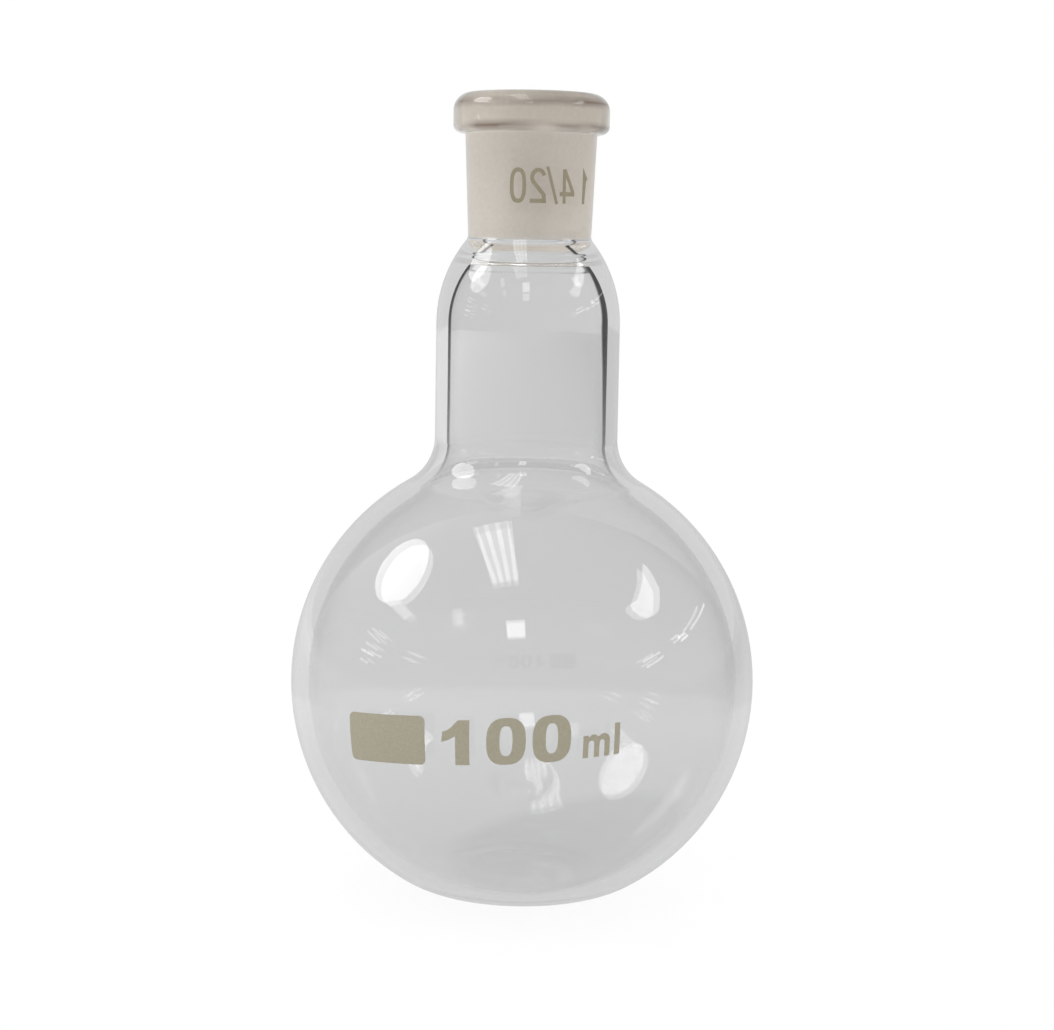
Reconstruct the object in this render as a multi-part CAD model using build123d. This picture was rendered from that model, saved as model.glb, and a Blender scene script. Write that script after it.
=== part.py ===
from build123d import *
import math
import os

# Round boiling flask with one ground neck: a single piece of blown borosilicate glass.
# Millimetres. Z is the axis the glass is turned about, and the origin is the centre of
# the base. Sections are drawn with X as the distance from the axis and Y as the height.

# Bulb
bulb_radius = 32.0              # outside of the ball
bulb_wall = 2.4

# Base
base_cut = 3.0                  # height of the slice that the flat base takes off the ball
base_thickness = 2.6
foot_corner_radius = 13.0       # soft turn from the ball into the base
standing_ring_width = 2.1       # flat ring left round the push-up
push_up_height = 0.4

# Neck
neck_radius = 12.55
neck_wall = 1.65
neck_height = 17.4              # top of the straight neck above the top of the whole ball
neck_root_radius = 7.0          # outside curve from the neck out into the ball
shoulder_radius = 18.0          # long outside curve from the neck in to the joint
shoulder_inner_radius = 13.8

# Ground socket joint, size 14/20
joint_bore_radius = 7.25        # wide end, at the rim
joint_taper = 0.1               # loss of diameter for each millimetre of depth
joint_length = 20.0             # ground stretch
joint_exit_length = 0.67        # plain bore below the ground stretch
joint_outer_radius = 9.15       # at the rim, inside the bead
joint_outer_taper = 0.08
joint_waist_radius = 1.2        # outside curve between the joint and the shoulder
joint_mouth_radius = 0.8        # rounding of the bore's wide end
joint_exit_radius = 1.2         # rounding of the bore's narrow end

# Bead round the rim
bead_overhang = 1.45            # how far it stands out past the joint's wall at the rim
bead_height = 5.4
bead_top_corner_radius = 2.4
bead_under_corner_radius = 1.1
bead_root_radius = 0.4          # inside corner between the bead and the joint

# Seam where the joint was sealed to the neck, felt as a low ridge inside
seam_drop = 2.8                 # below the ground stretch
seam_ridge_radius = 0.9
seam_ridge_height = 0.35
seam_root_radius = 0.5

# Places that follow from the sizes
ball_centre = bulb_radius - base_cut
neck_top = ball_centre + bulb_radius + neck_height
inner_ball_radius = bulb_radius - bulb_wall
inner_neck_radius = neck_radius - neck_wall
bead_radius = joint_outer_radius + bead_overhang
bore_exit_radius = joint_bore_radius - joint_taper / 2 * joint_length


def side_of_right_triangle(hypotenuse, other_side):
    """Length of the side that is left."""
    return math.sqrt(hypotenuse**2 - other_side**2)


def shoulder_rise(neck_line, radius, end_radius):
    """Height that a shoulder gains above the straight neck by the time it is in at a radius."""
    return side_of_right_triangle(radius, end_radius - neck_line + radius)


bore_end = neck_top + shoulder_rise(inner_neck_radius, shoulder_inner_radius, bore_exit_radius)
joint_foot = bore_end + joint_exit_length
flask_height = joint_foot + joint_length


def band(bottom, top, width):
    """Rectangle from the axis out to a width, between two heights."""
    return Pos(width / 2, (bottom + top) / 2) * Rectangle(width, top - bottom)


def tapered_band(bottom, top, top_radius, taper):
    """The same, with an outer edge that comes in towards the bottom."""
    bottom_radius = top_radius - taper / 2 * (top - bottom)
    return make_face(Polyline((0, bottom), (bottom_radius, bottom), (top_radius, top), (0, top), close=True))


def rounded(form, corner, radius):
    """The same section with its corner nearest to a point rounded."""
    return fillet(form.vertices().sort_by_distance(corner)[0], radius)


def flat_base_radius():
    """Where the foot's soft corner runs into the flat."""
    return side_of_right_triangle(bulb_radius - foot_corner_radius, ball_centre - foot_corner_radius)


def push_up(floor):
    """Shallow rise in the middle of a floor, inside the standing ring."""
    reach = flat_base_radius() - standing_ring_width
    rise = ThreePointArc((-reach, floor), (0, floor + push_up_height), (reach, floor))
    return make_face(rise + Line((reach, floor), (-reach, floor)))


def ball(radius, floor, corner_radius):
    """Half section of the ball, cut off at its floor, with the soft corner and push-up there."""
    disc = Pos(0, ball_centre) * Circle(radius)
    above_floor = band(floor, ball_centre + radius, radius)
    floor_edge = side_of_right_triangle(radius, ball_centre - floor)
    return rounded(disc & above_floor, (floor_edge, floor), corner_radius) - push_up(floor)


def shoulder(neck_line, radius):
    """Cap that curves in from a neck wall, starting upright at the top of the straight neck."""
    disc = Pos(neck_line - radius, neck_top) * Circle(radius)
    return disc & band(neck_top, flask_height, neck_line)


def ball_and_neck(ball_radius, floor, corner_radius, neck_line, root_radius, top_radius):
    """Half section from the base up over the shoulder, with the neck's root rounded."""
    form = ball(ball_radius, floor, corner_radius)
    form += band(ball_centre, neck_top, neck_line)
    form += shoulder(neck_line, top_radius)
    neck_foot = ball_centre + side_of_right_triangle(ball_radius, neck_line)
    return rounded(form, (neck_line, neck_foot), root_radius)


def outside():
    """Half section of everything inside the outer surface."""
    bead_foot = flask_height - bead_height
    bead_root = joint_outer_radius - joint_outer_taper / 2 * bead_height
    waist = joint_outer_radius - joint_outer_taper / 2 * joint_length
    waist_height = neck_top + shoulder_rise(neck_radius, shoulder_radius, waist)

    form = ball_and_neck(bulb_radius, 0, foot_corner_radius, neck_radius, neck_root_radius, shoulder_radius)
    form += tapered_band(neck_top, flask_height, joint_outer_radius, joint_outer_taper)
    form += band(bead_foot, flask_height, bead_radius)

    form = rounded(form, (waist, waist_height), joint_waist_radius)
    form = rounded(form, (bead_root, bead_foot), bead_root_radius)
    form = rounded(form, (bead_radius, bead_foot), bead_under_corner_radius)
    return rounded(form, (bead_radius, flask_height), bead_top_corner_radius)


def cavity():
    """Half section of the hollow, from the floor inside up through the ground bore."""
    form = ball_and_neck(
        inner_ball_radius, base_thickness, foot_corner_radius - bulb_wall,
        inner_neck_radius, neck_root_radius + neck_wall, shoulder_inner_radius)
    form += band(neck_top, joint_foot, bore_exit_radius)
    form = rounded(form, (bore_exit_radius, bore_end), joint_exit_radius)
    form += tapered_band(joint_foot, flask_height, joint_bore_radius, joint_taper)
    return without_seam_ridge(form)


def without_seam_ridge(form):
    """The hollow with the ridge of the sealed seam taken out of it."""
    shoulder_centre = Vector(inner_neck_radius - shoulder_inner_radius, neck_top)
    rise = joint_foot - seam_drop - neck_top
    outward = Vector(side_of_right_triangle(shoulder_inner_radius, rise), rise).normalized()
    along = Vector(-outward.Y, outward.X)
    wall = shoulder_centre + outward * shoulder_inner_radius
    ridge_centre = wall + outward * (seam_ridge_radius - seam_ridge_height)
    half_width = side_of_right_triangle(seam_ridge_radius, seam_ridge_radius - seam_ridge_height)

    form -= Pos(ridge_centre.X, ridge_centre.Y) * Circle(seam_ridge_radius)
    form = rounded(form, wall + along * half_width, seam_root_radius)
    return rounded(form, wall - along * half_width, seam_root_radius)


def flask():
    """The whole piece of glass, turned from its section."""
    section = outside() - cavity()
    section = rounded(section, (joint_bore_radius, flask_height), joint_mouth_radius)
    return revolve(Plane.XZ * section, Axis.Z)


os.makedirs("parts", exist_ok=True)
export_step(flask(), "parts/flask.step")
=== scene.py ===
import math

import bmesh
import bpy
from mathutils import Matrix, Vector


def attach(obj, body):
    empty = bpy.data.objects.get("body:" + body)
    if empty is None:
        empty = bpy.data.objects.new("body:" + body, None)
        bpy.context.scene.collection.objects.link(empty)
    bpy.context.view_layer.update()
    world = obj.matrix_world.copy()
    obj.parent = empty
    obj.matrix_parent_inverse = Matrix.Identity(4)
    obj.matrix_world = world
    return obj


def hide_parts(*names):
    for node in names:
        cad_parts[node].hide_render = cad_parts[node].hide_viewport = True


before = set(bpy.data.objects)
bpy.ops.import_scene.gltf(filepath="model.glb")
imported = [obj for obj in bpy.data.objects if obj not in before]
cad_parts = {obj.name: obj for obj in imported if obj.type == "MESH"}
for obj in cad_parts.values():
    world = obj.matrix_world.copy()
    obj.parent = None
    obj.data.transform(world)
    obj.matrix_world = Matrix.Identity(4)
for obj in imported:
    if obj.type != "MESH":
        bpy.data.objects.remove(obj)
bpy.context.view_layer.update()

# A 100 ml boiling flask of clear borosilicate glass with a 14/20 ground joint, and its fired-on
# marks. The flask's sizes are in millimetres and become metres where a mesh is made. Its outline
# is drawn as (radius, height), with the height above the surface that the flask stands on.
MM = 0.001

# Bulb and base
BULB_RADIUS = 32.0
BULB_WALL = 2.4
BASE_CUT = 3.0
BASE_THICKNESS = 2.6
FOOT_RADIUS = 13.0
STANDING_RING = 2.1
PUSH_UP = 0.4

# Neck and shoulder
NECK_RADIUS = 12.55
NECK_WALL = 1.65
NECK_HEIGHT = 17.4
NECK_ROOT = 7.0
SHOULDER_RADIUS = 18.0
SHOULDER_INNER_RADIUS = 13.8

# Ground joint and bead
BORE_RADIUS = 7.25
BORE_TAPER = 0.1
JOINT_LENGTH = 20.0
JOINT_EXIT = 0.67
JOINT_RADIUS = 9.15
JOINT_TAPER = 0.08
WAIST_RADIUS = 1.2
MOUTH_RADIUS = 0.8
EXIT_RADIUS = 1.2
BEAD_OVERHANG = 1.45
BEAD_HEIGHT = 5.4
BEAD_TOP = 2.4
BEAD_UNDER = 1.1
BEAD_ROOT = 0.4

# Seam ridge inside the shoulder
SEAM_DROP = 2.8
SEAM_RADIUS = 0.9
SEAM_RIDGE = 0.35
SEAM_ROOT = 0.5

BALL_CENTRE = BULB_RADIUS - BASE_CUT
NECK_TOP = BALL_CENTRE + BULB_RADIUS + NECK_HEIGHT
INNER_BALL = BULB_RADIUS - BULB_WALL
INNER_NECK = NECK_RADIUS - NECK_WALL
BORE_EXIT = BORE_RADIUS - BORE_TAPER / 2 * JOINT_LENGTH
BEAD_RADIUS = JOINT_RADIUS + BEAD_OVERHANG

# Fineness of the turned mesh
TURN_STEPS = 192
ARC_STEP = math.radians(3)
LEAST_ARC_STEPS = 6
LINE_STEP = 3.0


def triangle_side(hypotenuse, other_side):
    return math.sqrt(hypotenuse**2 - other_side**2)


def shoulder_rise(neck_line, radius, end_radius):
    return triangle_side(radius, end_radius - neck_line + radius)


BORE_END = NECK_TOP + shoulder_rise(INNER_NECK, SHOULDER_INNER_RADIUS, BORE_EXIT)
JOINT_FOOT = BORE_END + JOINT_EXIT
FLASK_HEIGHT = JOINT_FOOT + JOINT_LENGTH


# ---- outline: lines and arcs joined by rounded corners ----

class Line:
    """Straight stretch of an outline."""

    def __init__(self, through, heading):
        self.through = Vector(through)
        self.heading = Vector(heading).normalized()

    def shifted(self, left):
        return Line(self.through + Vector((-self.heading.y, self.heading.x)) * left, self.heading)

    def nearest(self, point):
        return self.through + self.heading * (point - self.through).dot(self.heading)

    def between(self, start, end):
        steps = max(1, math.ceil((end - start).length / LINE_STEP))
        return [start.lerp(end, i / steps) for i in range(1, steps + 1)]


class Arc:
    """Round stretch of an outline. Its sense is 1 where it turns left, and -1 to the right."""

    def __init__(self, centre, radius, sense):
        self.centre = Vector(centre)
        self.radius = radius
        self.sense = sense

    def shifted(self, left):
        return Arc(self.centre, self.radius - left * self.sense, self.sense)

    def nearest(self, point):
        return self.centre + (point - self.centre).normalized() * self.radius

    def between(self, start, end):
        first, last = start - self.centre, end - self.centre
        turn = math.atan2(first.x * last.y - first.y * last.x, first.dot(last))
        if turn * self.sense < 0:
            turn += 2 * math.pi * self.sense
        steps = max(LEAST_ARC_STEPS, math.ceil(abs(turn) / ARC_STEP))
        begin = math.atan2(first.y, first.x)
        angles = [begin + turn * i / steps for i in range(1, steps + 1)]
        return [self.centre + Vector((math.cos(a), math.sin(a))) * self.radius for a in angles]


def crossings(a, b):
    """Points where two stretches, carried on, meet."""
    if isinstance(a, Line) and isinstance(b, Line):
        gap = b.through - a.through
        along = (gap.x * b.heading.y - gap.y * b.heading.x) / (
            a.heading.x * b.heading.y - a.heading.y * b.heading.x)
        return [a.through + a.heading * along]
    if isinstance(a, Line):
        foot = a.nearest(b.centre)
        reach = triangle_side(b.radius, (foot - b.centre).length)
        return [foot + a.heading * reach, foot - a.heading * reach]
    if isinstance(b, Line):
        return crossings(b, a)
    gap = b.centre - a.centre
    along = (gap.length_squared + a.radius**2 - b.radius**2) / (2 * gap.length)
    foot = a.centre + gap.normalized() * along
    reach = gap.orthogonal().normalized() * triangle_side(a.radius, along)
    return [foot + reach, foot - reach]


def outline(start, stretches, end):
    """Points along stretches joined in turn. Between two stretches stands (near, radius, turn):
    the corner nearest to a point is rounded by a radius, and turns left (1) or right (-1).
    Radius 0 leaves it as it is."""
    points = [Vector(start)]
    for stretch, corner, following in zip(stretches[::2], stretches[1::2], stretches[2::2]):
        near, radius, turn = corner
        meets = crossings(stretch.shifted(turn * radius), following.shifted(turn * radius))
        centre = min(meets, key=lambda point: (point - Vector(near)).length)
        points += stretch.between(points[-1], stretch.nearest(centre))
        if radius:
            points += Arc(centre, radius, turn).between(points[-1], following.nearest(centre))
    return points + stretches[-1].between(points[-1], Vector(end))


def push_up_arc(floor, sense):
    """Shallow arc that lifts the middle of a floor, and the radius where it starts."""
    flat = triangle_side(BULB_RADIUS - FOOT_RADIUS, BALL_CENTRE - FOOT_RADIUS)
    reach = flat - STANDING_RING
    radius = (reach**2 + PUSH_UP**2) / (2 * PUSH_UP)
    return Arc((0, floor + PUSH_UP - radius), radius, sense), reach


def outer_outline():
    """From the middle of the base, up the outside, over the bead and into the mouth."""
    rise, reach = push_up_arc(0, -1)
    foot_edge = triangle_side(BULB_RADIUS, BALL_CENTRE)
    neck_foot = BALL_CENTRE + triangle_side(BULB_RADIUS, NECK_RADIUS)
    waist = JOINT_RADIUS - JOINT_TAPER / 2 * JOINT_LENGTH
    waist_height = NECK_TOP + shoulder_rise(NECK_RADIUS, SHOULDER_RADIUS, waist)
    bead_foot = FLASK_HEIGHT - BEAD_HEIGHT
    return outline(
        (0, PUSH_UP),
        [rise, ((reach, 0), 0, 1),
         Line((0, 0), (1, 0)), ((foot_edge, 0), FOOT_RADIUS, 1),
         Arc((0, BALL_CENTRE), BULB_RADIUS, 1), ((NECK_RADIUS, neck_foot), NECK_ROOT, -1),
         Line((NECK_RADIUS, 0), (0, 1)), ((NECK_RADIUS, NECK_TOP), 0, 1),
         Arc((NECK_RADIUS - SHOULDER_RADIUS, NECK_TOP), SHOULDER_RADIUS, 1),
         ((waist, waist_height), WAIST_RADIUS, -1),
         Line((JOINT_RADIUS, FLASK_HEIGHT), (JOINT_TAPER / 2, 1)),
         ((JOINT_RADIUS, bead_foot), BEAD_ROOT, -1),
         Line((0, bead_foot), (1, 0)), ((BEAD_RADIUS, bead_foot), BEAD_UNDER, 1),
         Line((BEAD_RADIUS, 0), (0, 1)), ((BEAD_RADIUS, FLASK_HEIGHT), BEAD_TOP, 1),
         Line((0, FLASK_HEIGHT), (-1, 0)), ((BORE_RADIUS, FLASK_HEIGHT), MOUTH_RADIUS, 1),
         Line((BORE_RADIUS, FLASK_HEIGHT), (-BORE_TAPER / 2, -1))],
        (BORE_EXIT, JOINT_FOOT))


def inner_outline():
    """From the end of the ground bore, over the seam ridge and down to the middle of the floor."""
    rise, reach = push_up_arc(BASE_THICKNESS, 1)
    floor_edge = triangle_side(INNER_BALL, BALL_CENTRE - BASE_THICKNESS)
    neck_foot = BALL_CENTRE + triangle_side(INNER_BALL, INNER_NECK)
    shoulder = Arc((INNER_NECK - SHOULDER_INNER_RADIUS, NECK_TOP), SHOULDER_INNER_RADIUS, -1)
    seam_rise = JOINT_FOOT - SEAM_DROP - NECK_TOP
    outward = Vector((triangle_side(SHOULDER_INNER_RADIUS, seam_rise), seam_rise)).normalized()
    along = Vector((-outward.y, outward.x))
    seam = shoulder.centre + outward * SHOULDER_INNER_RADIUS
    ridge = Arc(seam + outward * (SEAM_RADIUS - SEAM_RIDGE), SEAM_RADIUS, 1)
    half_ridge = triangle_side(SEAM_RADIUS, SEAM_RADIUS - SEAM_RIDGE)
    return outline(
        (BORE_EXIT, JOINT_FOOT),
        [Line((BORE_EXIT, 0), (0, -1)), ((BORE_EXIT, BORE_END), EXIT_RADIUS, 1),
         shoulder, (seam + along * half_ridge, SEAM_ROOT, -1),
         ridge, (seam - along * half_ridge, SEAM_ROOT, -1),
         shoulder, ((INNER_NECK, NECK_TOP), 0, 1),
         Line((INNER_NECK, 0), (0, -1)), ((INNER_NECK, neck_foot), NECK_ROOT + NECK_WALL, 1),
         Arc((0, BALL_CENTRE), INNER_BALL, -1),
         ((floor_edge, BASE_THICKNESS), FOOT_RADIUS - BULB_WALL, -1),
         Line((0, BASE_THICKNESS), (-1, 0)), ((reach, BASE_THICKNESS), 0, 1),
         rise],
        (0, BASE_THICKNESS + PUSH_UP))


# ---- materials: heights, places and grain are in metres ----

# Clear glass. Where a ray was reflected more often than the most turns, a faint painted glow
# shows.
GLASS_IOR = 1.473
OUTER_TINT = (0.754, 0.756, 0.758, 1.0)
INNER_TINT = (0.932, 0.933, 0.935, 1.0)
GLASS_SHADOW = (0.93, 0.93, 0.93, 1.0)
MOST_TURNS = 2.5
PAINTED_GLOW = 0.6

# Grain as features per metre, their detail, and their depth
GLASS_WAVES = (70.0, 2.0, 0.00002)
GROUND_GRAIN = (9000.0, 2.0, 0.00001)
PRINT_GRAIN = (6000.0, 3.0, 0.00002)
# Patches of colour as features per metre and their detail, and the noise where each shade is full
GROUND_PATCHES = (1800.0, 4.0)
PRINT_PATCHES = (3500.0, 4.0)
PATCH_ENDS = (0.3, 0.7)

# Painted dark edges of clear glass: share of reflection at a slanting view, and how far each shows
# there
# The dark edges are painted reflection, standing in for dark surroundings seen at a slant.
PAINTED_DARK_EDGE = (0.01, 0.01, 0.01, 1.0)
PAINTED_OUTLINE_SHARE = ((0.3, 0.0), (0.6, 0.1), (0.985, 0.1), (0.995, 0.0))
SOFT_PAINTED_EDGE = ((0.07, 0.0), (0.25, 1.0))
FINE_PAINTED_EDGE = ((0.22, 0.0), (0.30, 1.0))
TURNED_BACK = ((0.985, 1.0), (0.995, 0.0))
# Height, and how strong each painted dark edge of the inner wall is there
SOFT_STRENGTH = ((0.0, 0.0), (0.025, 0.02), (0.036, 0.08), (0.1, 0.08))
FINE_STRENGTH = ((0.0, 0.0), (0.055, 0.0), (0.063, 0.5), (0.079, 0.92), (0.1, 0.92))
# Place to the right, and height, and how much wider the fine painted dark edge is there
WIDER_SIDE = ((0.0, 0.0), (0.006, 1.0))
WIDER_HEIGHT = ((0.063, 0.1), (0.072, 0.4), (0.078, 0.8), (0.0835, 0.5), (0.086, 0.1))

# Height, and how much light the thick foot lets through, partly its tint and partly painted
# shade. The painted shade rises to the right.
FOOT_TINT_AND_PAINTED_SHADE = ((0.0, 0.82), (0.0042, 0.84), (0.0056, 1.0))
PAINTED_SHADE_SLOPE = 0.25

# Bead: streaks of painted reflection per metre round it and up it, their detail, and the noise
# where they start and end
BEAD_TINT = (0.74, 0.73, 0.70, 1.0)
BEAD_PAINTED_REFLECTION = (0.10, 0.055, 0.042, 1.0)
BEAD_GRAIN = (110.0, 110.0, 500.0)
STREAK_DETAIL = 1.5
STREAK_ONSET = ((0.33, 0.0), (0.58, 1.0))
# Height, and how strongly the painted reflection shows in the bead there
PAINTED_REFLECTION_BANDS = ((0.104, 0.6), (0.1047, 1.0), (0.1056, 0.0), (0.1070, 0.0), (0.1079, 1.0),
              (0.1087, 0.3), (0.1094, 0.9))

# Ground glass, and its height with the share of its colour that it shows there: painted light
GROUND_IOR = 1.1
GROUND_ROUGHNESS = 0.7
GROUND_CLEARNESS = 0.3
GROUND_COLOUR = (0.98, 0.92, 0.835, 1.0)
GROUND_DARK = 0.93
GROUND_PAINTED_LIGHT = ((0.0894, 1.0), (0.1, 0.88))

# Enamel
PRINT_IOR = 1.5
PRINT_ROUGHNESS = 0.55
PRINT_COLOUR = (0.335, 0.305, 0.228, 1.0)
JOINT_PRINT_COLOUR = (0.26, 0.225, 0.15, 1.0)
PRINT_DARK = 0.92
PRINT_LIGHT = 1.06


def grey(value):
    return (value, value, value, 1.0)


def shaded(colour, factor):
    return tuple(factor * part for part in colour[:3]) + (1.0,)


def new_material(name):
    """A material with only its output node, its node tree, and that output."""
    material = bpy.data.materials.new(name)
    material.use_nodes = True
    tree = material.node_tree
    tree.nodes.clear()
    return material, tree, tree.nodes.new("ShaderNodeOutputMaterial")


def add(tree, kind, **inputs):
    """A node, with its input sockets set by name."""
    node = tree.nodes.new(kind)
    for name, value in inputs.items():
        node.inputs[name.replace("_", " ")].default_value = value
    return node


def worked_out(tree, kind, operation, values):
    """The result of a maths node of a kind, from plain values and other nodes' results."""
    node = tree.nodes.new(kind)
    node.operation = operation
    for socket, value in zip(node.inputs, values):
        if isinstance(value, bpy.types.NodeSocket):
            tree.links.new(value, socket)
        else:
            socket.default_value = value
    return node.outputs[0]


def math_node(tree, operation, *values):
    return worked_out(tree, "ShaderNodeMath", operation, values)


def vector_product(tree, *values):
    return worked_out(tree, "ShaderNodeVectorMath", "MULTIPLY", values)


def product(tree, *values):
    result = values[0]
    for value in values[1:]:
        result = math_node(tree, "MULTIPLY", result, value)
    return result


def spread(tree, value, low, high, first=0.0, last=1.0):
    """Turns a value between low and high into one between first and last, and holds it there."""
    node = add(tree, "ShaderNodeMapRange", From_Min=low, From_Max=high, To_Min=first, To_Max=last)
    tree.links.new(value, node.inputs["Value"])
    return node.outputs["Result"]


def curve(tree, value, stops):
    """Turns a value into another one, along straight lines between stops of (value, result)."""
    low, high = stops[0][0], stops[-1][0]
    node = tree.nodes.new("ShaderNodeValToRGB")
    for _ in stops[2:]:
        node.color_ramp.elements.new(1.0)
    for element, (at, result) in zip(node.color_ramp.elements, stops):
        element.position = (at - low) / (high - low)
        element.color = result if isinstance(result, tuple) else grey(result)
    tree.links.new(spread(tree, value, low, high), node.inputs["Fac"])
    return node.outputs["Color"]


def on_object(tree):
    """The place of a point of the object, in metres."""
    return tree.nodes.new("ShaderNodeTexCoord").outputs["Object"]


def place_along(tree, axis):
    """How far along an axis of the object a point lies, in metres."""
    parts = tree.nodes.new("ShaderNodeSeparateXYZ")
    tree.links.new(on_object(tree), parts.inputs["Vector"])
    return parts.outputs[axis]


def noise_at(tree, place, scale, detail):
    """Noise that is fixed to the object."""
    noise = add(tree, "ShaderNodeTexNoise", Scale=scale, Detail=detail)
    tree.links.new(place, noise.inputs["Vector"])
    return noise.outputs["Fac"]


def roughen(tree, shader, scale, detail, depth):
    """Gives a shader's surface a grain."""
    bumps = add(tree, "ShaderNodeBump", Strength=1.0, Distance=depth)
    tree.links.new(noise_at(tree, on_object(tree), scale, detail), bumps.inputs["Height"])
    tree.links.new(bumps.outputs["Normal"], shader.inputs["Normal"])


def mottled(tree, patches, dark, light):
    """A colour that drifts between two shades in patches."""
    shades = tree.nodes.new("ShaderNodeValToRGB")
    for element, position, colour in zip(shades.color_ramp.elements, PATCH_ENDS, (dark, light)):
        element.position = position
        element.color = colour
    tree.links.new(noise_at(tree, on_object(tree), *patches), shades.inputs["Fac"])
    return shades.outputs["Color"]


def mixed(tree, share, first, second):
    """One shader where the share is 0, and the other where it is 1."""
    mix = tree.nodes.new("ShaderNodeMixShader")
    tree.links.new(share, mix.inputs["Fac"])
    tree.links.new(first.outputs[0], mix.inputs[1])
    tree.links.new(second.outputs[0], mix.inputs[2])
    return mix


def let_lamps_through(tree, shader):
    """The shader, except that lamp light passes through it with a tint, for a light shadow."""
    path = tree.nodes.new("ShaderNodeLightPath")
    clear = add(tree, "ShaderNodeBsdfTransparent", Color=GLASS_SHADOW)
    return mixed(tree, path.outputs["Is Shadow Ray"], shader, clear)


def blown_glass(tree):
    """The shader of clear glass, a little uneven."""
    shader = add(tree, "ShaderNodeBsdfPrincipled", Roughness=0.0, IOR=GLASS_IOR,
                 Transmission_Weight=1.0)
    roughen(tree, shader, *GLASS_WAVES)
    return shader


def finish_glass(tree, shader, output):
    """Casts a light shadow, and shows a faint painted glow where a ray goes to and fro within the
    wall.
    """
    path = tree.nodes.new("ShaderNodeLightPath")
    # Painted glow: the glass itself emits light where a ray has turned back too often
    trapped = math_node(tree, "GREATER_THAN", path.outputs["Glossy Depth"], MOST_TURNS)
    glow = add(tree, "ShaderNodeEmission", Color=grey(1.0), Strength=PAINTED_GLOW)
    shader = let_lamps_through(tree, mixed(tree, trapped, shader, glow))
    tree.links.new(shader.outputs[0], output.inputs["Surface"])


def outer_glass():
    """The outside, whose outline is a shade darker by a painted dark reflection."""
    material, tree, output = new_material("clear_glass")
    shader = blown_glass(tree)
    shader.inputs["Base Color"].default_value = OUTER_TINT
    slant = add(tree, "ShaderNodeFresnel", IOR=GLASS_IOR).outputs["Fac"]
    # Painted dark reflection: a near-black share at slanting views darkens the outline
    line = add(tree, "ShaderNodeBsdfDiffuse", Color=PAINTED_DARK_EDGE)
    finish_glass(tree, mixed(tree, curve(tree, slant, PAINTED_OUTLINE_SHARE), shader, line), output)
    return material


def inner_glass():
    """The inner wall. A painted dark edge, for dark surroundings reflected, shows where the wall
    is seen so slantingly that it is about to turn the view back: soft in the bulb, fine and strong
    in the neck, and there wider on the right. The thick foot is a shade darker: tint and painted
    shade."""
    material, tree, output = new_material("inner_glass")
    shader = blown_glass(tree)
    height, side = place_along(tree, "Z"), place_along(tree, "X")
    # The foot's darker tint, partly painted shade that reaches higher on the right
    shades = [(at, shaded(INNER_TINT, factor)) for at, factor in FOOT_TINT_AND_PAINTED_SHADE]
    above_foot = math_node(tree, "SUBTRACT", height, product(tree, side, PAINTED_SHADE_SLOPE))
    tree.links.new(curve(tree, above_foot, shades), shader.inputs["Base Color"])
    slant = add(tree, "ShaderNodeFresnel", IOR=GLASS_IOR).outputs["Fac"]
    wider = product(tree, curve(tree, side, WIDER_SIDE), curve(tree, height, WIDER_HEIGHT))
    widened = math_node(tree, "ADD", slant, product(tree, slant, wider))
    soft, fine = [product(tree, curve(tree, onset, edge), curve(tree, slant, TURNED_BACK),
                          curve(tree, height, strength))
                  for onset, edge, strength in ((slant, SOFT_PAINTED_EDGE, SOFT_STRENGTH),
                                                (widened, FINE_PAINTED_EDGE, FINE_STRENGTH))]
    # Painted dark reflection: a near-black share where the inner wall is seen very slantingly
    line = add(tree, "ShaderNodeBsdfDiffuse", Color=PAINTED_DARK_EDGE)
    finish_glass(tree, mixed(tree, math_node(tree, "MAXIMUM", soft, fine), shader, line), output)
    return material


def bead_glass():
    """The bead: thick, warmer glass with painted brownish reflections that run round it at two
    heights.
    """
    material, tree, output = new_material("bead_glass")
    shader = blown_glass(tree)
    noise = noise_at(tree, vector_product(tree, on_object(tree), BEAD_GRAIN), 1.0, STREAK_DETAIL)
    # Painted reflection: brown streaks where the ground bore would be seen in the thick bead
    painted_reflection = product(tree, curve(tree, noise, STREAK_ONSET),
                     curve(tree, place_along(tree, "Z"), PAINTED_REFLECTION_BANDS))
    colours = curve(tree, painted_reflection, ((0.0, BEAD_TINT), (1.0, BEAD_PAINTED_REFLECTION)))
    tree.links.new(colours, shader.inputs["Base Color"])
    finish_glass(tree, shader, output)
    return material


def ground_glass():
    """The finely ground bore: frosted, milky and warm grey, and lighter towards its foot by
    painted light.
    """
    material, tree, output = new_material("ground_glass")
    shader = add(tree, "ShaderNodeBsdfPrincipled", Roughness=GROUND_ROUGHNESS, IOR=GROUND_IOR,
                 Transmission_Weight=GROUND_CLEARNESS)
    milky = mottled(tree, GROUND_PATCHES, shaded(GROUND_COLOUR, GROUND_DARK), GROUND_COLOUR)
    # Painted light: the bore's colour is lighter towards its foot
    colours = vector_product(tree, milky, curve(tree, place_along(tree, "Z"), GROUND_PAINTED_LIGHT))
    tree.links.new(colours, shader.inputs["Base Color"])
    roughen(tree, shader, *GROUND_GRAIN)
    tree.links.new(let_lamps_through(tree, shader).outputs[0], output.inputs["Surface"])
    return material


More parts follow.
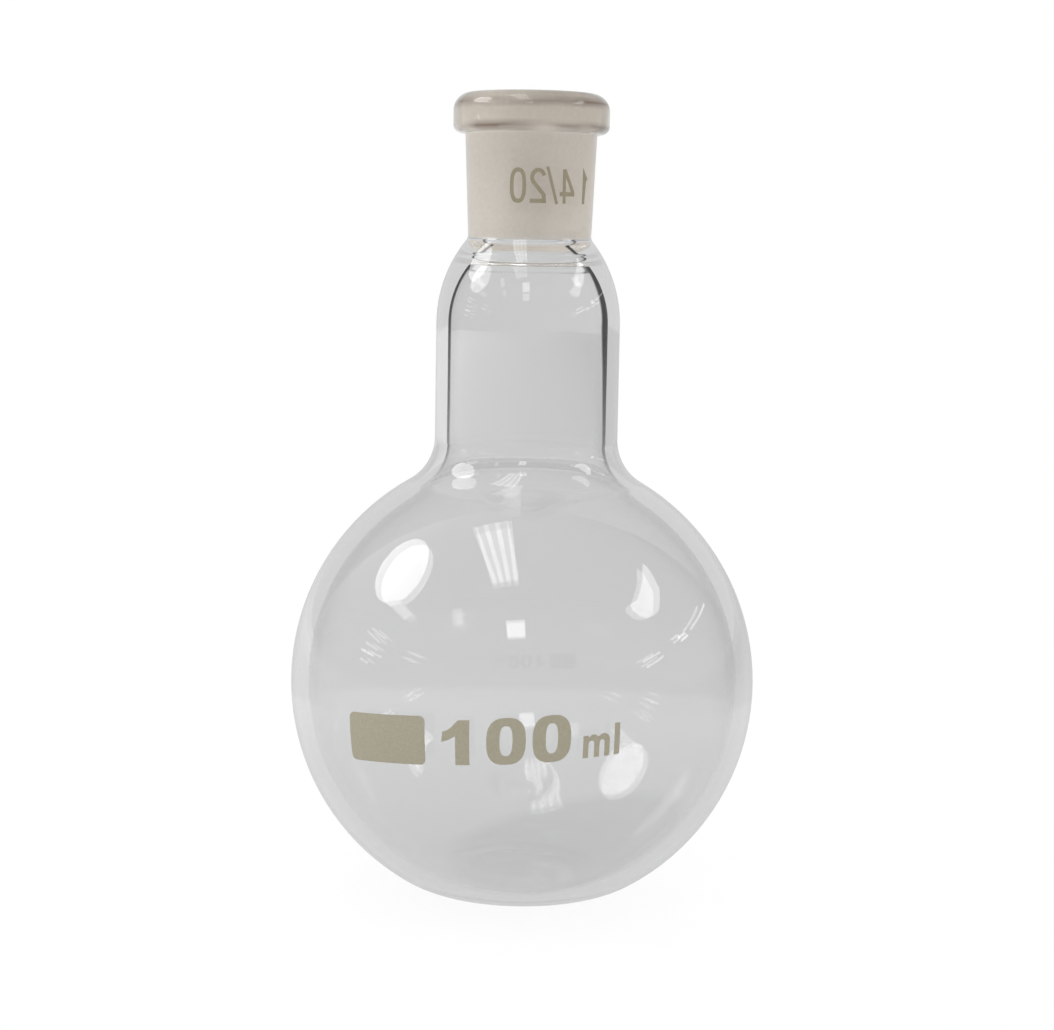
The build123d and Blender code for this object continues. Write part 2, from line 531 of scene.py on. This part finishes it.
def enamel(name, colour):
    """Fired-on print: matt, grey-olive and slightly grainy."""
    material, tree, output = new_material(name)
    shader = add(tree, "ShaderNodeBsdfPrincipled", Roughness=PRINT_ROUGHNESS, IOR=PRINT_IOR)
    colours = mottled(tree, PRINT_PATCHES, shaded(colour, PRINT_DARK), shaded(colour, PRINT_LIGHT))
    tree.links.new(colours, shader.inputs["Base Color"])
    roughen(tree, shader, *PRINT_GRAIN)
    tree.links.new(shader.outputs[0], output.inputs["Surface"])
    return material


# ---- the glass ----

def link(name, data, *materials):
    """An object in the scene that shows a mesh, a lamp or a camera."""
    piece = bpy.data.objects.new(name, data)
    bpy.context.scene.collection.objects.link(piece)
    for material in materials:
        data.materials.append(material)
    return piece


def as_mesh(name, shape):
    mesh = bpy.data.meshes.new(name)
    shape.to_mesh(mesh)
    shape.free()
    return mesh


def turned_mesh(name, profile):
    """A closed outline that starts and ends on the axis, turned once round it."""
    shape = bmesh.new()
    turns = [2 * math.pi * i / TURN_STEPS for i in range(TURN_STEPS)]
    rings = [[shape.verts.new((radius * math.cos(turn) * MM, radius * math.sin(turn) * MM,
                               height * MM)) for turn in turns]
             for radius, height in profile[1:-1]]
    poles = [shape.verts.new((0, 0, profile[end][1] * MM)) for end in (0, -1)]
    for i in range(TURN_STEPS):
        j = (i + 1) % TURN_STEPS
        shape.faces.new((poles[0], rings[0][j], rings[0][i]))
        for low, high in zip(rings, rings[1:]):
            shape.faces.new((low[i], low[j], high[j], high[i]))
        shape.faces.new((rings[-1][i], rings[-1][j], poles[1]))
    mesh = as_mesh(name, shape)
    mesh.shade_smooth()
    return mesh


def make_flask():
    """The glass. Its material differs outside, inside, in the ground bore and round the bead."""
    profile = outer_outline() + inner_outline()[1:]
    materials = (outer_glass(), inner_glass(), ground_glass(), bead_glass())
    outside, inside, ground, bead = range(len(materials))
    flask = link("flask_glass", turned_mesh("flask_glass", profile), *materials)
    for face in flask.data.polygons:
        height = face.center.z / MM
        inward = face.normal.xy.dot(face.center.xy) < 0
        if inward:
            face.material_index = ground if height > JOINT_FOOT else inside
        elif height > FLASK_HEIGHT - BEAD_HEIGHT:
            face.material_index = bead
        elif face.normal.z > 0 and height < BASE_THICKNESS + 2 * PUSH_UP:
            face.material_index = inside
        else:
            face.material_index = outside
    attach(flask, "root")
    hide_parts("flask")


# ---- print: a mark is a list of closed loops, its outline and then any holes ----

# The volume mark rises to the right, and its base is this far below the bulb's widest line
LABEL_SLOPE = 0.075
LABEL_DROP = 4.77
# Height of the joint's mark
SIZE_MARK_BASE = 94.6
# The layer of enamel, and the grid that lets it bend with the glass
PRINT_GAP = 0.01
PRINT_THICKNESS = 0.04
PRINT_GRID = 0.75
BOW_STEPS = 10
MITRE_LIMIT = 0.4


def bow(centre, reach, start, end, steps=BOW_STEPS):
    """Points along part of an ellipse, between two angles in degrees."""
    angles = [math.radians(start + (end - start) * i / steps) for i in range(steps + 1)]
    return [(centre[0] + reach[0] * math.cos(angle), centre[1] + reach[1] * math.sin(angle))
            for angle in angles]


def ring(centre, width, height, squareness):
    """A closed oval. Squareness 2 is an ellipse, and more fills out its corners."""
    points = []
    for x, y in bow((0, 0), (1, 1), 0, 360, 4 * BOW_STEPS)[:-1]:
        points.append((centre[0] + width / 2 * math.copysign(abs(x) ** (2 / squareness), x),
                       centre[1] + height / 2 * math.copysign(abs(y) ** (2 / squareness), y)))
    return points


def rounded_block(left, low, right, high, radius):
    near, far, under, over = left + radius, right - radius, low + radius, high - radius
    points = []
    for i, centre in enumerate(((far, over), (near, over), (near, under), (far, under))):
        points += bow(centre, (radius, radius), 90 * i, 90 * (i + 1))
    return [points]


def stroke(path, width):
    """The outline of a line of a width, with mitred bends."""
    path = [Vector(point) for point in path]
    left, right = [], []
    for i, point in enumerate(path):
        before = (point - path[max(i - 1, 0)]).normalized()
        after = (path[min(i + 1, len(path) - 1)] - point).normalized()
        heading = (before + after).normalized()
        reach = width / 2 / max(heading.dot(after if i == 0 else before), MITRE_LIMIT)
        side = Vector((-heading.y, heading.x)) * reach
        left.append(tuple(point + side))
        right.append(tuple(point - side))
    return [left + right[::-1]]


def moved(mark, x):
    return [[(u + x, v) for u, v in loop] for loop in mark]


# The volume mark's bold "100", and its "ml"
BOLD_SQUARENESS = 2.7


def bold_zero(width, counter):
    return [ring((0, 2.97), width, 6.1, BOLD_SQUARENESS),
            ring((0, 3.03), counter, 3.9, BOLD_SQUARENESS)]


BOLD_ONE = [[(0, 0), (1.85, 0), (1.85, 5.88), (0.35, 5.88)]
            + bow((-2.1, 6.7), (2.35, 2.3), -35, -80, 6)
            + [(-1.85, 3.08), (-0.9, 3.35), (0, 3.83)]]
SMALL_M = [[(0, 0), (0, 2.93), (0.68, 2.93), (0.68, 2.62)] + bow((1.35, 2.2), (0.72, 0.8), 120, 35)
           + bow((2.72, 2.15), (0.82, 0.85), 135, 0) + [(3.54, 0), (2.84, 0)]
           + bow((2.5, 1.85), (0.34, 0.38), 0, 180) + [(2.16, 0), (1.46, 0)]
           + bow((1.08, 1.85), (0.38, 0.38), 0, 180) + [(0.70, 0)]]
SMALL_L = [[(0, 0), (0.72, 0), (0.72, 4.12), (0, 4.12)]]

BULB_MARKS = {
    "print_block": rounded_block(-24.5, -0.03, -12.55, 6.4, 0.75),
    "print_100_1": moved(BOLD_ONE, -8.42),
    "print_100_2": moved(bold_zero(5.0, 1.65), -1.88),
    "print_100_3": moved(bold_zero(4.9, 1.55), 3.91),
    "print_ml_1": moved(SMALL_M, 7.97),
    "print_ml_2": moved(SMALL_L, 12.15),
}

# The joint's fine "14/20", and the widths of its strokes
FINE_ONE_STROKE = 0.48
FINE_TWO_STROKE = 0.52
FINE_SLASH_STROKE = 0.4
FINE_SQUARENESS = 2.6
FINE_ONE = stroke([(0.75, 0), (0.75, 4.2), (0.5, 3.75), (0, 3.2)], FINE_ONE_STROKE)
FINE_FOUR = [[(1.45, 0), (1.9, 0), (1.9, 0.97), (2.35, 0.97), (2.35, 1.5), (1.9, 1.5), (1.9, 4.5),
              (1.4, 4.5), (0, 1.5), (0, 0.97), (1.45, 0.97)],
             [(1.45, 1.5), (1.45, 3.5), (0.55, 1.5)]]
FINE_SLASH = stroke([(0, -0.1), (1.35, 4.8)], FINE_SLASH_STROKE)
FINE_TWO = stroke(bow((1.08, 3.35), (0.83, 1.0), 165, -30)
                  + [(0.35, 1.1), (0.28, 0.28), (2.16, 0.28)], FINE_TWO_STROKE)
FINE_ZERO = [ring((1.09, 2.3), 2.18, 4.62, FINE_SQUARENESS),
             ring((1.09, 2.3), 1.2, 3.55, FINE_SQUARENESS)]

JOINT_MARKS = {
    "print_14_20_1": moved(FINE_ONE, -9.0),
    "print_14_20_2": moved(FINE_FOUR, -6.38),
    "print_14_20_3": moved(FINE_SLASH, -3.6),
    "print_14_20_4": moved(FINE_TWO, -2.11),
    "print_14_20_5": moved(FINE_ZERO, 0.58),
}


def on_bulb(u, v):
    """The place and outward direction on the bulb, u along its widest line and v up from the
    mark's base."""
    azimuth, latitude = u / BULB_RADIUS, (v - LABEL_DROP + LABEL_SLOPE * u) / BULB_RADIUS
    outward = Vector((math.cos(latitude) * math.sin(azimuth),
                      -math.cos(latitude) * math.cos(azimuth), math.sin(latitude)))
    return Vector((0, 0, BALL_CENTRE)) + outward * BULB_RADIUS, outward


def on_joint(u, v):
    """The place and outward direction on the joint, u to the left, so that the mark is mirrored,
    and v up from its base."""
    height = v + SIZE_MARK_BASE
    radius = JOINT_RADIUS - JOINT_TAPER / 2 * (FLASK_HEIGHT - height)
    azimuth = -u / radius
    outward = Vector((math.sin(azimuth), -math.cos(azimuth), -JOINT_TAPER / 2)).normalized()
    return Vector((radius * math.sin(azimuth), -radius * math.cos(azimuth), height)), outward


def print_mark(name, loops, surface, material):
    """A mark as a thin layer that follows the glass."""
    shape = bmesh.new()
    edges = []
    for loop in loops:
        verts = [shape.verts.new((u, v, 0)) for u, v in loop]
        edges += [shape.edges.new((a, b)) for a, b in zip(verts, verts[1:] + verts[:1])]
    bmesh.ops.triangle_fill(shape, use_beauty=True, use_dissolve=False, edges=edges)
    for axis in (0, 1):
        low = min(vert.co[axis] for vert in shape.verts)
        high = max(vert.co[axis] for vert in shape.verts)
        normal = Vector((1 - axis, axis, 0))
        for i in range(1, math.ceil((high - low) / PRINT_GRID)):
            cut = normal * (low + i * PRINT_GRID)
            everything = shape.verts[:] + shape.edges[:] + shape.faces[:]
            bmesh.ops.bisect_plane(shape, geom=everything, plane_co=cut, plane_no=normal)
    flat = {vert: surface(vert.co.x, vert.co.y) for vert in shape.verts}
    for vert, (place, outward) in flat.items():
        vert.co = (place + outward * PRINT_GAP) * MM
    shape.normal_update()
    backward = [face for face in shape.faces if face.normal.dot(flat[face.verts[0]][1]) < 0]
    bmesh.ops.reverse_faces(shape, faces=backward)
    mark = link(name, as_mesh(name, shape), material)
    layer = mark.modifiers.new("layer", "SOLIDIFY")
    layer.thickness = PRINT_THICKNESS * MM
    layer.offset = 1.0
    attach(mark, "root")


def make_print():
    """The volume mark on the bulb and the size mark on the joint."""
    for paint_name, colour, surface, marks in (
            ("print", PRINT_COLOUR, on_bulb, BULB_MARKS),
            ("joint_print", JOINT_PRINT_COLOUR, on_joint, JOINT_MARKS)):
        paint = enamel(paint_name, colour)
        for name, loops in marks.items():
            print_mark(name, loops, surface, paint)


# ---- floor and world ----

FLOOR_SIZE = 4.0
FLOOR_DROP = 0.0001
FLOOR_COLOUR = (0.95, 0.95, 0.95, 1.0)
WORLD_LIGHT = 0.8
WALL_WHITE = 0.82
# Distance from the flask's axis, and how white the table is there: seen at once, and through glass
FLOOR_WHITE = ((0.05, 0.85), (0.3, 1.0))
# Through glass, the table's darker middle near the flask is a painted shadow
TABLE_PAINTED_SHADE = ((0.0, 0.77), (0.05, 0.80), (0.11, 0.88), (0.136, 0.88), (0.144, WALL_WHITE))
# Places to the left and the right, and by how much the table's painted light through glass differs
# there
TABLE_PAINTED_SIDES = (-0.34, 0.26, 1.17, 0.87)


def seen_rays(tree):
    """1 for a ray that the camera, a reflection or clear glass looks along, and 0 for one that
    only lights."""
    path = tree.nodes.new("ShaderNodeLightPath")
    seen = math_node(tree, "MAXIMUM", path.outputs["Is Camera Ray"], path.outputs["Is Glossy Ray"])
    return math_node(tree, "MAXIMUM", seen, path.outputs["Is Transmission Ray"])


def seen_at_once(tree, otherwise, at_once):
    """One shader for what the camera sees with nothing between, and the other for other rays."""
    path = tree.nodes.new("ShaderNodeLightPath")
    return mixed(tree, path.outputs["Is Camera Ray"], otherwise, at_once)


def make_floor():
    """A white table that keeps a soft shadow near the flask. Through glass it is a shade darker,
    with a painted shadow close to the flask, lighter than the wall a little further out, and
    painted light on the left."""
    mesh = bpy.data.meshes.new("floor")
    half = FLOOR_SIZE / 2
    corners = ((-half, -half), (half, -half), (half, half), (-half, half))
    mesh.from_pydata([(x, y, -FLOOR_DROP) for x, y in corners], [], [(0, 1, 2, 3)])
    material, tree, output = new_material("floor")
    from_axis = tree.nodes.new("ShaderNodeVectorMath")
    from_axis.operation = "LENGTH"
    tree.links.new(on_object(tree), from_axis.inputs[0])
    distance = from_axis.outputs["Value"]
    paper = add(tree, "ShaderNodeBsdfDiffuse", Color=FLOOR_COLOUR)
    white = add(tree, "ShaderNodeEmission", Color=grey(1.0), Strength=1.0)
    through_glass = add(tree, "ShaderNodeEmission", Color=grey(1.0))
    # Painted shadow close to the flask, and painted light on the left, for rays through glass
    shade = product(tree, curve(tree, distance, TABLE_PAINTED_SHADE),
                    spread(tree, place_along(tree, "X"), *TABLE_PAINTED_SIDES))
    tree.links.new(shade, through_glass.inputs["Strength"])
    looked_at = product(tree, seen_rays(tree), curve(tree, distance, FLOOR_WHITE))
    shader = mixed(tree, looked_at, paper, seen_at_once(tree, through_glass, white))
    tree.links.new(shader.outputs[0], output.inputs["Surface"])
    link("floor", mesh, material)


def make_world():
    """Even light, and behind the glass a wall that is a shade darker than the seen backdrop."""
    world = bpy.data.worlds.new("studio")
    bpy.context.scene.world = world
    world.use_nodes = True
    tree = world.node_tree
    tree.nodes.clear()
    output = tree.nodes.new("ShaderNodeOutputWorld")
    light, wall, backdrop = [add(tree, "ShaderNodeBackground", Color=grey(1.0), Strength=strength)
                             for strength in (WORLD_LIGHT, WALL_WHITE, 1.0)]
    shader = seen_at_once(tree, mixed(tree, seen_rays(tree), light, wall), backdrop)
    tree.links.new(shader.outputs[0], output.inputs["Surface"])


# ---- lamps: their places are in metres from the middle of the bulb ----

BALL = Vector((0, 0, BALL_CENTRE * MM))
LAMP_RADIANCE = 5.0
WINDOW_RADIANCE = 2.0
TAIL_RADIANCE = 3.0
# Low end, high end, width and radiance
LEFT_LAMP = ((-0.80, -0.20, 0.575), (-0.665, 0.27, 0.70), 0.42, LAMP_RADIANCE)
FRONT_LAMP = ((-0.05, -0.86, 0.505), (-0.06, -0.778, 0.62), 0.15, LAMP_RADIANCE)
NEAR_LAMP = ((-0.50, -0.675, 0.54), (-0.50, -0.583, 0.637), 0.08, WINDOW_RADIANCE)
WINDOW = ((-0.135, -0.52, 0.836), (-0.208, 0.045, 0.965), 0.21, WINDOW_RADIANCE)
# Corners of the panels
LEFT_TAIL = ((-0.866, -0.051, 0.497), (-0.815, -0.181, 0.55), (-0.774, -0.37, 0.514),
             (-0.823, -0.33, 0.463))
RIGHT_PANEL = ((0.709, 0.097, 0.698), (0.744, 0.099, 0.661), (0.788, 0.071, 0.611),
               (0.822, 0.045, 0.568), (0.847, -0.019, 0.531), (0.870, -0.114, 0.480),
               (0.861, -0.185, 0.474), (0.839, -0.250, 0.483), (0.798, -0.310, 0.517),
               (0.751, -0.329, 0.572), (0.743, -0.305, 0.596), (0.767, -0.231, 0.599),
               (0.763, -0.139, 0.632), (0.752, -0.044, 0.658), (0.723, 0.043, 0.689))
# Tubes before the window: ends of the first, and how far each end moves from tube to tube
TUBES = 4
TUBE_ENDS = (((-0.215, -0.52, 0.836), 0.053), ((-0.32, 0.045, 0.965), 0.075))
TUBE_NEARNESS = 0.98
TUBE_WIDTH = 0.03
# Narrow lamps at the sides: both ends and the radiance
SIDE_LAMPS = (((0.954, 0.113, 0.279), (0.856, 0.425, 0.294), 3.0),
              ((0.957, -0.056, 0.284), (0.958, 0.055, 0.283), 5.0),
              ((0.965, -0.035, 0.259), (0.962, 0.068, 0.264), 5.0),
              ((0.857, -0.462, 0.226), (0.924, -0.286, 0.255), 4.0),
              ((0.878, -0.442, 0.182), (0.940, -0.259, 0.223), 4.0),
              ((-0.955, -0.049, 0.292), (-0.937, -0.222, 0.269), 2.5),
              ((-0.943, -0.082, 0.323), (-0.914, -0.265, 0.306), 2.5),
              ((-0.970, -0.080, 0.228), (-0.950, -0.224, 0.219), 2.5),
              ((-0.983, -0.049, 0.177), (-0.963, -0.208, 0.174), 4.0),
              ((-0.990, -0.064, 0.125), (-0.981, -0.158, 0.116), 2.5),
              ((-0.826, -0.488, 0.283), (-0.746, -0.612, 0.262), 2.5),
              ((-0.850, -0.471, 0.234), (-0.788, -0.577, 0.216), 2.5))
SIDE_LAMP_WIDTH = 0.015


def lamp(name, low, high, width, radiance, shape="RECTANGLE"):
    """A soft lamp that faces the bulb. Its long axis runs from its low end to its high end."""
    low, high = Vector(low), Vector(high)
    outward = (low + high).normalized()
    length = (high - low).length
    along = (high - low).normalized()
    along = (along - outward * along.dot(outward)).normalized()
    light = bpy.data.lights.new(name, "AREA")
    light.shape = shape
    light.size, light.size_y = width, length
    area = width * length * (math.pi / 4 if shape == "ELLIPSE" else 1.0)
    light.energy = math.pi * area * radiance
    holder = link(name, light)
    turn = Matrix((along.cross(outward), along, outward)).transposed().to_4x4()
    holder.matrix_world = Matrix.Translation(BALL + (low + high) / 2) @ turn
    holder.visible_camera = False


def panel(name, corners, radiance):
    """A flat soft lamp of any outline."""
    mesh = bpy.data.meshes.new(name)
    mesh.from_pydata([BALL + Vector(corner) for corner in corners], [], [range(len(corners))])
    material, tree, output = new_material(name)
    glow = add(tree, "ShaderNodeEmission", Color=grey(1.0), Strength=radiance)
    tree.links.new(glow.outputs[0], output.inputs["Surface"])
    piece = link(name, mesh, material)
    piece.visible_camera = False


def make_lamps():
    """The lamps and panels that stand in the glass as highlights."""
    lamp("lamp_left", *LEFT_LAMP, "ELLIPSE")
    panel("lamp_left_tail", LEFT_TAIL, TAIL_RADIANCE)
    panel("lamp_right", RIGHT_PANEL, LAMP_RADIANCE)
    lamp("lamp_front", *FRONT_LAMP)
    lamp("lamp_near", *NEAR_LAMP)
    lamp("lamp_window", *WINDOW)
    for i in range(TUBES):
        low, high = [Vector((x + step * i, y, z)) * TUBE_NEARNESS for (x, y, z), step in TUBE_ENDS]
        lamp("lamp_tube_%d" % (i + 1), low, high, TUBE_WIDTH, WINDOW_RADIANCE)
    for i, (low, high, radiance) in enumerate(SIDE_LAMPS):
        lamp("lamp_side_%d" % (i + 1), low, high, SIDE_LAMP_WIDTH, radiance)


# ---- camera: its picture is in pixels, and its place in millimetres from the bulb's middle ----

PICTURE_WIDTH = 1054
PICTURE_MIDDLE = PICTURE_WIDTH / 2
AXIS_COLUMN = 524.8
FOCAL_PIXELS = 2306.0
SENSOR = 36.0
CAMERA_DISTANCE = 316.3
CAMERA_RISE = 60.6
CAMERA_PITCH = 0.1183
CAMERA_ROLL = math.radians(1.0)


def make_camera():
    """The camera, turned so that the flask's axis stands at its column of the picture."""
    camera = bpy.data.cameras.new("camera")
    camera.sensor_fit = "HORIZONTAL"
    camera.sensor_width = SENSOR
    camera.lens = FOCAL_PIXELS * SENSOR / PICTURE_WIDTH
    eye = link("camera", camera)
    yaw = math.atan((AXIS_COLUMN - PICTURE_MIDDLE) / FOCAL_PIXELS)
    turn = (Matrix.Rotation(yaw, 4, "Z") @ Matrix.Rotation(math.pi / 2 - CAMERA_PITCH, 4, "X")
            @ Matrix.Rotation(CAMERA_ROLL, 4, "Z"))
    place = BALL + Vector((0, -CAMERA_DISTANCE, CAMERA_RISE)) * MM
    eye.matrix_world = Matrix.Translation(place) @ turn
    bpy.context.scene.camera = eye


make_flask()
make_print()
make_floor()
make_world()
make_lamps()
make_camera()
bpy.context.scene.view_settings.view_transform = "Standard"
